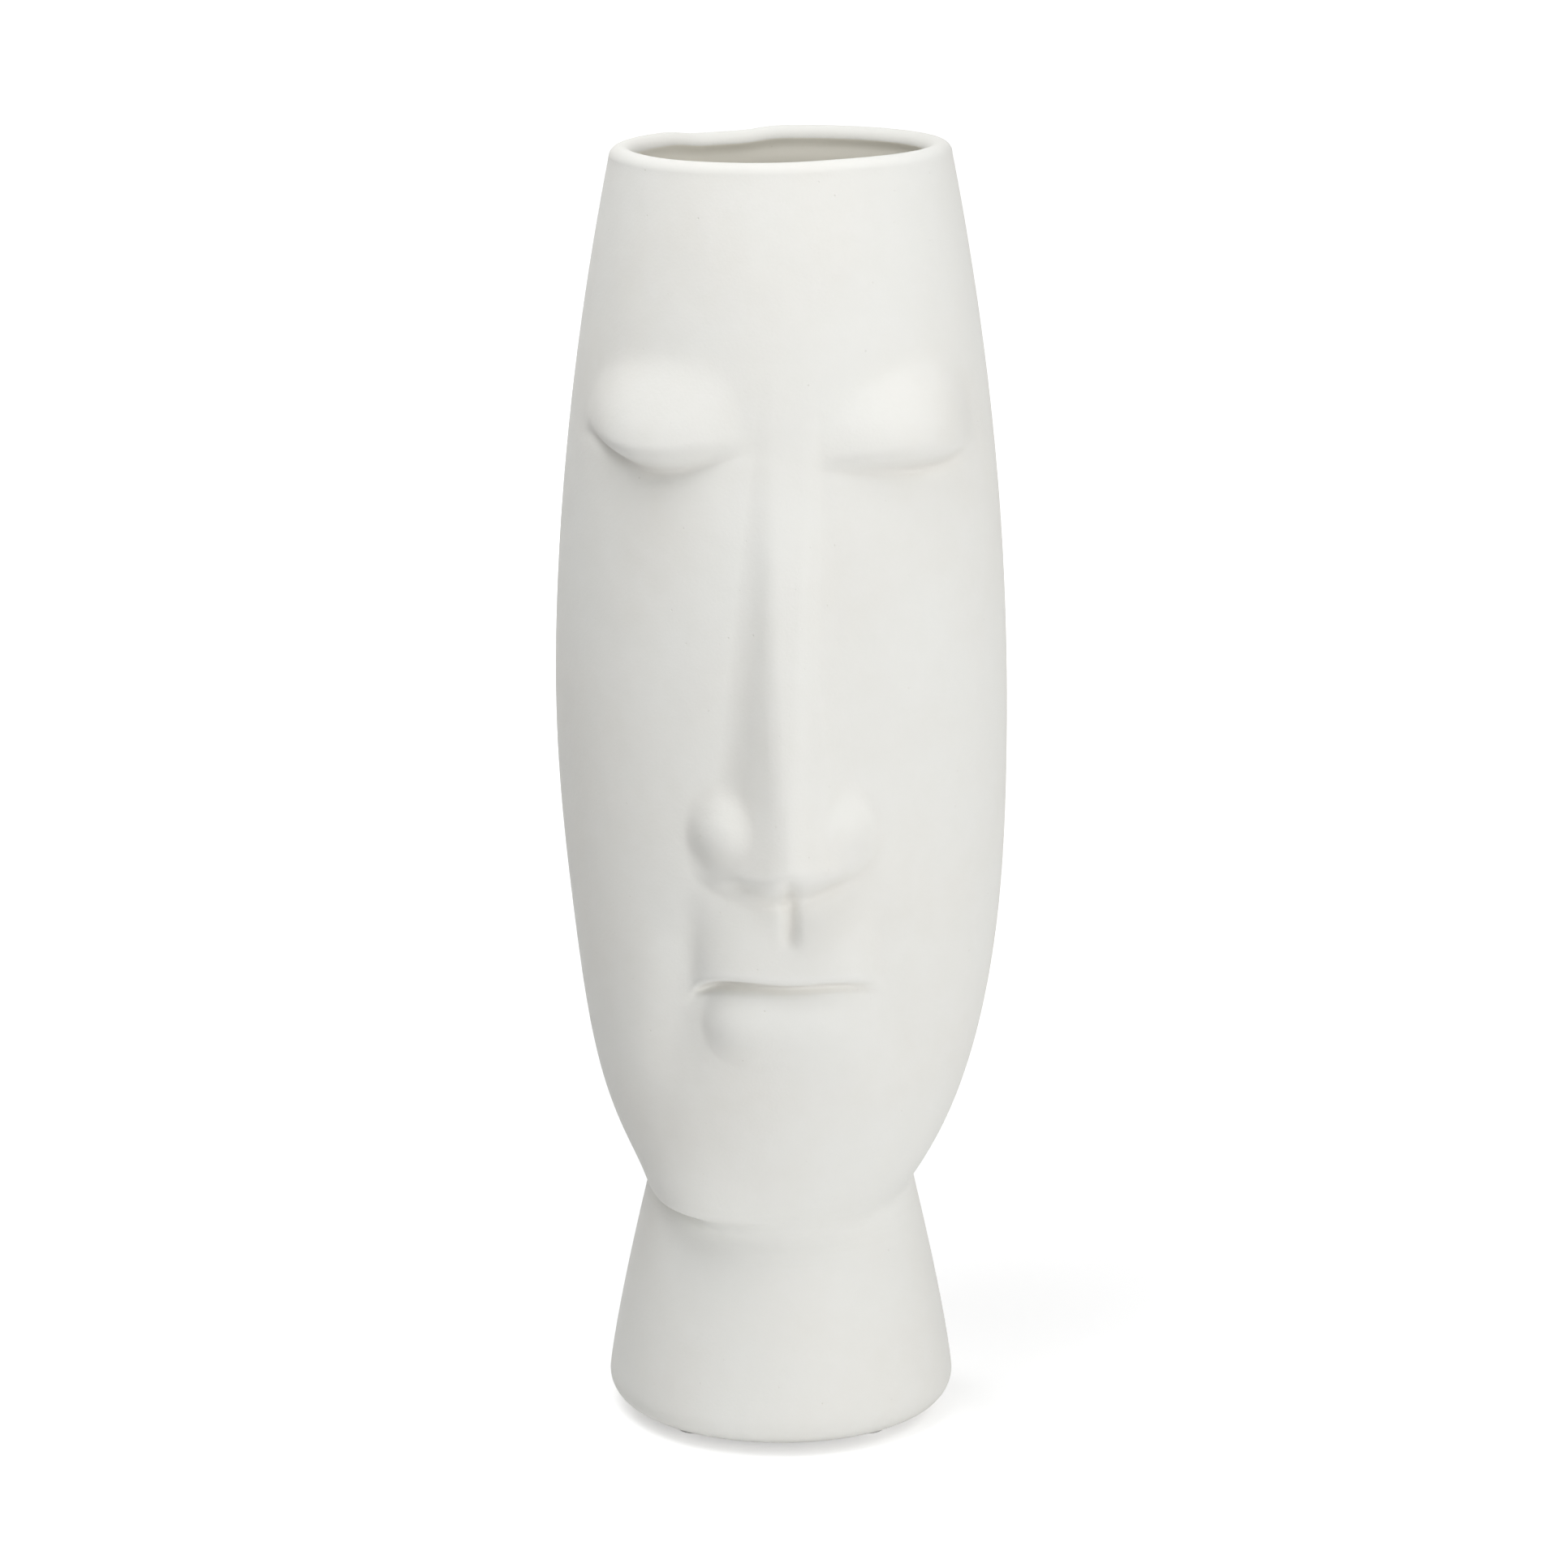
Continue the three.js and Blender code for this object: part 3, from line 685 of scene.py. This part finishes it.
def make_pad(node, felt):
    low, high = (np.array(corner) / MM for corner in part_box(node))
    radius = (high[0] - low[0]) / 2
    thickness = high[2] - low[2]
    quarter = np.linspace(0, math.pi / 2, ARC_STEPS)
    rim = radius - PAD_ROUNDING + PAD_ROUNDING * np.sin(quarter)
    rim_height = PAD_ROUNDING - PAD_ROUNDING * np.cos(quarter)
    profile_radius = np.array([0, radius / 2, *rim, radius, 0])[None, :]
    profile_height = np.array([0, 0, *rim_height, thickness, thickness])[None, :]
    rows = placed(even_angles(PAD_COLUMNS), profile_radius, ON_AXIS, profile_height)
    rows += np.append((low[:2] + high[:2]) / 2, low[2])
    pad = swept_mesh(node.replace("felt_pad", "pad"), rows, False, [felt])
    weld(pad)
    return pad


def colour_socket(sockets, name):
    """The socket for a colour. A mix node has sockets of several types under one name."""
    return next(socket for socket in sockets if socket.name == name and socket.type == "RGBA")


class Look:
    """A material under construction: its nodes, its principled shader and its place coordinates."""

    def __init__(self, name):
        self.material = bpy.data.materials.new(name)
        self.material.use_nodes = True
        self.tree = self.material.node_tree
        self.shader = self.tree.nodes["Principled BSDF"]
        self.place = self.add("ShaderNodeTexCoord").outputs["Object"]

    def add(self, kind, **settings):
        node = self.tree.nodes.new(kind)
        for name, value in settings.items():
            setattr(node, name, value)
        return node

    def join(self, output, socket):
        self.tree.links.new(output, socket)

    def noise(self, cells, detail, squeeze=None):
        """Noise with so many cells to the metre, times the squeeze along each axis."""
        node = self.add("ShaderNodeTexNoise")
        node.inputs["Scale"].default_value = cells
        node.inputs["Detail"].default_value = detail
        place = self.place
        if squeeze:
            mapping = self.add("ShaderNodeMapping")
            mapping.inputs["Scale"].default_value = squeeze
            self.join(place, mapping.inputs["Vector"])
            place = mapping.outputs["Vector"]
        self.join(place, node.inputs["Vector"])
        return node.outputs["Fac"]

    def pits(self, cells, radius):
        """One in the middle of sparse round pits, falling to zero at their edge."""
        node = self.add("ShaderNodeTexVoronoi")
        node.inputs["Scale"].default_value = cells
        self.join(self.place, node.inputs["Vector"])
        return self.spread(node.outputs["Distance"], 0.0, radius, 1.0, 0.0)

    def spread(self, value, low, high, to_low, to_high):
        """Maps a value that runs from low to high onto another range, and cuts it off at the ends."""
        node = self.add("ShaderNodeMapRange")
        node.inputs["From Min"].default_value = low
        node.inputs["From Max"].default_value = high
        node.inputs["To Min"].default_value = to_low
        node.inputs["To Max"].default_value = to_high
        self.join(value, node.inputs["Value"])
        return node.outputs["Result"]

    def tint(self, first, second, value, low=NOISE_LOW, high=NOISE_HIGH, most=1.0):
        """Turns a colour towards a second one as a value runs from low to high, by a share at most.
        A colour is a tuple or a node's output."""
        node = self.add("ShaderNodeMix", data_type="RGBA")
        self.join(self.spread(value, low, high, 0, most), node.inputs["Factor"])
        for name, colour in (("A", first), ("B", second)):
            socket = colour_socket(node.inputs, name)
            if isinstance(colour, tuple):
                socket.default_value = (*colour, 1.0)
            else:
                self.join(colour, socket)
        return colour_socket(node.outputs, "Result")

    def bump(self, layers):
        """Adds bumps, each a height and its depth in millimetres, one on top of the other."""
        normal = None
        for height, depth in layers:
            node = self.add("ShaderNodeBump", invert=depth < 0)
            node.inputs["Distance"].default_value = abs(depth) * MM
            self.join(height, node.inputs["Height"])
            if normal is not None:
                self.join(normal, node.inputs["Normal"])
            normal = node.outputs["Normal"]
        self.join(normal, self.shader.inputs["Normal"])

    def attribute(self, name):
        return self.add("ShaderNodeAttribute", attribute_name=name).outputs["Fac"]

    def finish(self, colour, noise, smoothest, roughest, specular):
        """Sets the colour and the gloss, which a noise varies between two roughnesses."""
        roughness = self.spread(noise, NOISE_LEAST, NOISE_MOST, smoothest, roughest)
        self.join(colour, self.shader.inputs["Base Color"])
        self.join(roughness, self.shader.inputs["Roughness"])
        self.shader.inputs["Specular IOR Level"].default_value = specular
        return self.material


def clay_look():
    """Matte white ceramic, sponged smooth: faint clouds, a fine tooth and rare pinholes, with painted shade
    darkening the hollows and paler ridges.
    """
    look = Look("matte_ceramic")
    clouds = look.noise(CLOUD_CELLS, detail=3.0)
    mottle = look.noise(MOTTLE_CELLS, detail=4.0)
    grain = look.noise(GRAIN_CELLS, detail=2.0)
    pits = look.pits(CLAY_PIT_CELLS, CLAY_PIT_RADIUS)
    hollow = look.attribute("hollow")
    clouded = look.tint(CLAY_COOL, CLAY_WARM, clouds)
    mottled = look.tint(clouded, CLAY_PALE, mottle, 0.35, 0.75, most=0.35)
    # painted shade: the colour darkens and browns in the hollows of the relief, where shade falls
    painted_shade = look.tint(mottled, CLAY_PAINTED_SHADE, hollow, 0.1, 1.0, most=0.3)
    # the colour turns paler on the ridges of the relief
    paler_ridges = look.tint(painted_shade, CLAY_RIDGE_PALE, hollow, -0.2, -1.0, most=0.4)
    pitted = look.tint(paler_ridges, CLAY_PINHOLE, pits, 0, 1, most=0.3)
    look.bump([(clouds, 1.2), (mottle, 0.16), (grain, 0.035), (pits, -0.12)])
    return look.finish(pitted, mottle, smoothest=0.62, roughest=0.78, specular=CERAMIC_SPECULAR)


def slip_look():
    """Slip smoothed with a wet brush: the clay's white, with faint strokes along the seam."""
    look = Look("slip")
    strokes = look.noise(STROKE_CELLS, detail=3.0, squeeze=STROKE_SQUEEZE)
    clouds = look.noise(CLOUD_CELLS, detail=3.0)
    grain = look.noise(GRAIN_CELLS, detail=2.0)
    clouded = look.tint(CLAY_COOL, CLAY_WARM, clouds)
    stroked = look.tint(clouded, CLAY_PALE, strokes, 0.4, 0.7, most=0.25)
    look.bump([(strokes, 0.12), (grain, 0.035)])
    return look.finish(stroked, strokes, smoothest=0.68, roughest=0.8, specular=CERAMIC_SPECULAR)


def glaze_look():
    """The inside has a thin cream glaze that has pooled unevenly."""
    look = Look("inner_glaze")
    pools = look.noise(POOL_CELLS, detail=3.0, squeeze=POOL_SQUEEZE)
    peel = look.noise(PEEL_CELLS, detail=2.0)
    pits = look.pits(GLAZE_PIT_CELLS, GLAZE_PIT_RADIUS)
    pooled = look.tint(GLAZE_THIN, GLAZE_POOLED, pools)
    pitted = look.tint(pooled, GLAZE_PINHOLE, pits, 0, 1, most=0.4)
    look.bump([(pools, 0.5), (peel, 0.05)])
    return look.finish(pitted, pools, smoothest=0.3, roughest=0.45, specular=GLAZE_SPECULAR)


def bare_look():
    """The underside is wiped bare of slip and rubbed down: sandier and a little darker."""
    look = Look("bare_foot")
    clouds = look.noise(BARE_CLOUD_CELLS, detail=3.0)
    sand = look.noise(SAND_CELLS, detail=3.0)
    clouded = look.tint(BARE_PALE, BARE_DULL, clouds)
    sandy = look.tint(clouded, BARE_SAND, sand, 0.45, 0.7, most=0.5)
    look.bump([(clouds, 0.4), (sand, 0.12)])
    return look.finish(sandy, sand, smoothest=0.8, roughest=0.92, specular=BARE_SPECULAR)


def felt_look():
    """Dense pressed felt: short fibres in two directions, with a soft sheen."""
    look = Look("felt")
    fibres = look.noise(FIBRE_CELLS, detail=4.0, squeeze=FIBRE_SQUEEZE)
    cross_fibres = look.noise(CROSS_FIBRE_CELLS, detail=4.0, squeeze=CROSS_FIBRE_SQUEEZE)
    streaked = look.tint(FELT_DULL, FELT_PALE, fibres)
    matted = look.tint(streaked, FELT_FIBRE, cross_fibres, 0.45, 0.7, most=0.6)
    look.bump([(fibres, 0.15), (cross_fibres, 0.1)])
    look.shader.inputs["Sheen Weight"].default_value = FELT_SHEEN
    look.shader.inputs["Sheen Roughness"].default_value = FELT_SHEEN_ROUGHNESS
    return look.finish(matted, cross_fibres, smoothest=0.9, roughest=1.0, specular=FELT_SPECULAR)


def seen_share(nodes, links):
    """One for the rays that show the background to the camera, directly or in a gloss or glass."""
    path = nodes.new("ShaderNodeLightPath")
    first = nodes.new("ShaderNodeMath")
    second = nodes.new("ShaderNodeMath")
    for node in (first, second):
        node.operation = "MAXIMUM"
    links.new(path.outputs["Is Camera Ray"], first.inputs[0])
    links.new(path.outputs["Is Glossy Ray"], first.inputs[1])
    links.new(first.outputs[0], second.inputs[0])
    links.new(path.outputs["Is Transmission Ray"], second.inputs[1])
    return second.outputs[0]


def make_floor():
    """A pale floor that keeps the vase's shadow near it and shows white further off."""
    half = FLOOR_SIZE / 2
    corners = [(-half, -half, 0), (half, -half, 0), (half, half, 0), (-half, half, 0)]
    mesh = bpy.data.meshes.new("floor")
    mesh.from_pydata(corners, [], [(0, 1, 2, 3)])
    floor = bpy.data.objects.new("floor", mesh)
    bpy.context.scene.collection.objects.link(floor)
    look = Look("floor")
    nodes, links = look.tree.nodes, look.tree.links
    nodes.remove(look.shader)
    distance = look.add("ShaderNodeVectorMath", operation="LENGTH")
    look.join(look.place, distance.inputs[0])
    white = look.spread(
        distance.outputs["Value"], FLOOR_NEAR_RADIUS, FLOOR_FAR_RADIUS, FLOOR_WHITE_NEAR, FLOOR_WHITE_FAR
    )
    shown = look.add("ShaderNodeMath", operation="MULTIPLY")
    look.join(white, shown.inputs[0])
    look.join(seen_share(nodes, links), shown.inputs[1])
    glow = look.add("ShaderNodeEmission")
    look.join(shown.outputs[0], glow.inputs["Strength"])
    matte = look.add("ShaderNodeBsdfDiffuse")
    matte.inputs["Color"].default_value = (FLOOR_ALBEDO, FLOOR_ALBEDO, FLOOR_ALBEDO, 1.0)
    both = look.add("ShaderNodeAddShader")
    look.join(matte.outputs[0], both.inputs[0])
    look.join(glow.outputs[0], both.inputs[1])
    look.join(both.outputs[0], nodes["Material Output"].inputs["Surface"])
    mesh.materials.append(look.material)


def make_world():
    world = bpy.data.worlds.new("studio")
    world.use_nodes = True
    bpy.context.scene.world = world
    nodes, links = world.node_tree.nodes, world.node_tree.links
    strength = nodes.new("ShaderNodeMapRange")
    strength.inputs["To Min"].default_value = WORLD_LIGHT
    strength.inputs["To Max"].default_value = 1.0
    links.new(seen_share(nodes, links), strength.inputs["Value"])
    nodes["Background"].inputs["Color"].default_value = (1.0, 1.0, 1.0, 1.0)
    links.new(strength.outputs["Result"], nodes["Background"].inputs["Strength"])


def make_lamps():
    for name, azimuth, elevation, distance, size, watts in LAMPS:
        lamp = bpy.data.lights.new(name, "AREA")
        lamp.energy = watts
        lamp.size = size
        obj = bpy.data.objects.new(name, lamp)
        bpy.context.scene.collection.objects.link(obj)
        turn, rise = math.radians(azimuth), math.radians(elevation)
        away = Vector((math.sin(turn) * math.cos(rise), -math.cos(turn) * math.cos(rise), math.sin(rise)))
        obj.location = LAMP_TARGET + away * distance
        obj.rotation_euler = (-away).to_track_quat("-Z", "Y").to_euler()


def make_camera():
    camera = bpy.data.cameras.new("camera")
    camera.sensor_width = SENSOR_WIDTH
    camera.lens = SENSOR_WIDTH * FOCAL_PIXELS / PHOTO_PIXELS
    obj = bpy.data.objects.new("camera", camera)
    bpy.context.scene.collection.objects.link(obj)
    obj.location = Vector(CAMERA_PLACE) * MM
    obj.rotation_euler = (math.pi / 2 - CAMERA_TILT, 0, 0)
    bpy.context.scene.camera = obj


clay = clay_look()
glaze = glaze_look()
felt = felt_look()
pieces = [
    (make_head(clay, glaze), "head_vessel", "matte_ceramic"),
    (make_foot(clay, glaze, bare_look()), "neck_foot", "matte_ceramic"),
    (make_slip(slip_look()), "slip_seam", "slip"),
    *((make_pad(node, felt), node, "felt") for node in PADS),
]
for piece, node, slot in pieces:
    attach(piece, "root")
    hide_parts(node)

make_floor()
make_world()
make_lamps()
make_camera()
bpy.context.scene.view_settings.view_transform = "Standard"
